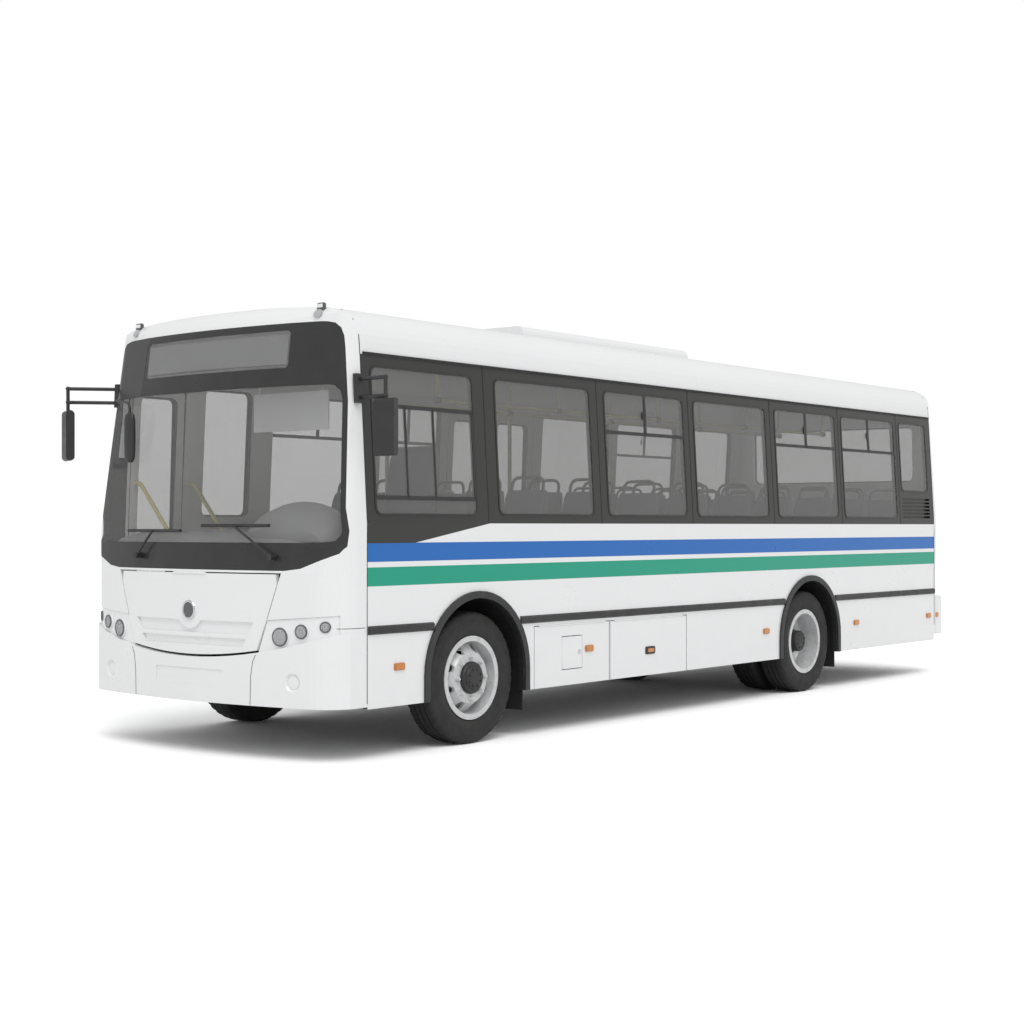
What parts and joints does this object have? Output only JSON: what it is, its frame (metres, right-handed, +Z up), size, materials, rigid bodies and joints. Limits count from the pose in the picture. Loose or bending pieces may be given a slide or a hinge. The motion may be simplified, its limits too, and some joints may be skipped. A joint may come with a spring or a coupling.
{
  "type": "single-deck bus",
  "caption": "White single-deck bus with bonded side glass, raked windscreen, green and blue waist stripes, hinged doors, hatches, flaps and steered front wheels.",
  "frame": {"origin": "on the ground under the middle of the bus", "axes": "+X forward, +Y to the left side, +Z up"},
  "size_m": [9.3298, 3.1009, 3.0689],
  "materials": {
    "white_paint": "gloss",
    "black_gloss": "gloss",
    "glass": "tinted",
    "lamp_clear": "clear",
    "lamp_red": "gloss",
    "lamp_amber": "gloss",
    "black_plastic": "satin",
    "rubber": "matte",
    "tyre": "matte",
    "rim_paint": "satin",
    "dark_steel": "satin",
    "grey_plastic": "matte",
    "floor_cover": "matte",
    "seat_fabric": "woven",
    "yellow_paint": "gloss"
  },
  "bodies": {
    "body": {"chassis_frame": "dark_steel", "floor": "floor_cover", "wheel_boxes": "black_plastic", "front_cap": "white_paint", "front_bumper": "white_paint", "rear_bumper": "white_paint", "front_lamps": "lamp_clear", "windscreen_surround": "black_gloss", "windscreen": "glass", "left_wall": "white_paint", "right_wall": "white_paint", "left_glass": "glass", "right_glass": "glass", "roof": "white_paint", "roof_pod": "white_paint", "rear_cap": "white_paint", "rear_glass": "glass", "rear_lamps": "lamp_red", "side_lamps": "lamp_amber", "side_trims": "black_plastic", "mudflaps": "rubber", "mirrors": "black_plastic", "wipers": "black_plastic", "dashboard": "grey_plastic", "steering_wheel": "black_plastic", "driver_partition": "grey_plastic", "seats": "seat_fabric", "handrails": "yellow_paint", "engine": "dark_steel", "front_axle": "dark_steel", "rear_axle": "dark_steel", "fuel_tank": "dark_steel"},
    "knuckle_left": {"knuckle_left": "dark_steel"},
    "knuckle_right": {"knuckle_right": "dark_steel"},
    "wheel_front_left": {"rim_front_left": "rim_paint", "tyre_front_left": "tyre"},
    "wheel_front_right": {"rim_front_right": "rim_paint", "tyre_front_right": "tyre"},
    "wheels_rear_left": {"rim_rear_left": "rim_paint", "tyres_rear_left": "tyre"},
    "wheels_rear_right": {"rim_rear_right": "rim_paint", "tyres_rear_right": "tyre"},
    "front_door": {"front_door": "white_paint", "front_door_glass": "glass"},
    "mid_door_fore": {"mid_door_fore": "white_paint", "mid_door_fore_glass": "glass"},
    "mid_door_aft": {"mid_door_aft": "white_paint", "mid_door_aft_glass": "glass"},
    "hatch_fore": {"hatch_fore": "white_paint"},
    "hatch_aft": {"hatch_aft": "white_paint"},
    "fuel_flap": {"fuel_flap": "white_paint"},
    "engine_lid": {"engine_lid": "white_paint"},
    "front_flap": {"front_flap": "white_paint"}
  },
  "joints": [
    {"name": "steer_left", "type": "hinge", "parent": "body", "child": "knuckle_left", "pos_m": [3.1, 0.93, 0.465], "axis": [0, 0, 1], "range_deg": [-40, 40]},
    {"name": "steer_right", "type": "hinge", "parent": "body", "child": "knuckle_right", "pos_m": [3.1, -0.93, 0.465], "axis": [0, 0, 1], "range_deg": [-40, 40]},
    {"name": "spin_front_left", "type": "hinge", "parent": "knuckle_left", "child": "wheel_front_left", "pos_m": [3.1, 1.0775, 0.465], "axis": [0, 1, 0], "continuous": true},
    {"name": "spin_front_right", "type": "hinge", "parent": "knuckle_right", "child": "wheel_front_right", "pos_m": [3.1, -1.0775, 0.465], "axis": [0, 1, 0], "continuous": true},
    {"name": "spin_rear_left", "type": "hinge", "parent": "body", "child": "wheels_rear_left", "pos_m": [-1.71, 1, 0.465], "axis": [0, 1, 0], "continuous": true},
    {"name": "spin_rear_right", "type": "hinge", "parent": "body", "child": "wheels_rear_right", "pos_m": [-1.71, -1, 0.465], "axis": [0, 1, 0], "continuous": true},
    {"name": "front_door_swing", "type": "hinge", "parent": "body", "child": "front_door", "pos_m": [4.194, -1.25, 1.2], "axis": [0, 0, 1], "range_deg": [0, 85]},
    {"name": "mid_door_fore_swing", "type": "hinge", "parent": "body", "child": "mid_door_fore", "pos_m": [0.614, -1.25, 1.2], "axis": [0, 0, 1], "range_deg": [0, 90]},
    {"name": "mid_door_aft_swing", "type": "hinge", "parent": "body", "child": "mid_door_aft", "pos_m": [-0.624, -1.25, 1.2], "axis": [0, 0, -1], "range_deg": [0, 90]},
    {"name": "hatch_fore_lift", "type": "hinge", "parent": "body", "child": "hatch_fore", "pos_m": [2, 1.25, 0.794], "axis": [1, 0, 0], "range_deg": [0, 95]},
    {"name": "hatch_aft_lift", "type": "hinge", "parent": "body", "child": "hatch_aft", "pos_m": [1, 1.25, 0.794], "axis": [1, 0, 0], "range_deg": [0, 95]},
    {"name": "fuel_flap_swing", "type": "hinge", "parent": "hatch_fore", "child": "fuel_flap", "pos_m": [2.114, 1.25, 0.58], "axis": [0, 0, -1], "range_deg": [0, 100]},
    {"name": "engine_lid_lift", "type": "hinge", "parent": "body", "child": "engine_lid", "pos_m": [-4.575, 0, 1.474], "axis": [0, 1, 0], "range_deg": [0, 80]},
    {"name": "front_flap_lift", "type": "hinge", "parent": "body", "child": "front_flap", "pos_m": [4.647, 0, 1.217], "axis": [0, -1, 0], "range_deg": [0, 75]}
  ],
  "couplings": [
    {"joint": "steer_right", "follows": "steer_left", "ratio": 1}
  ]
}
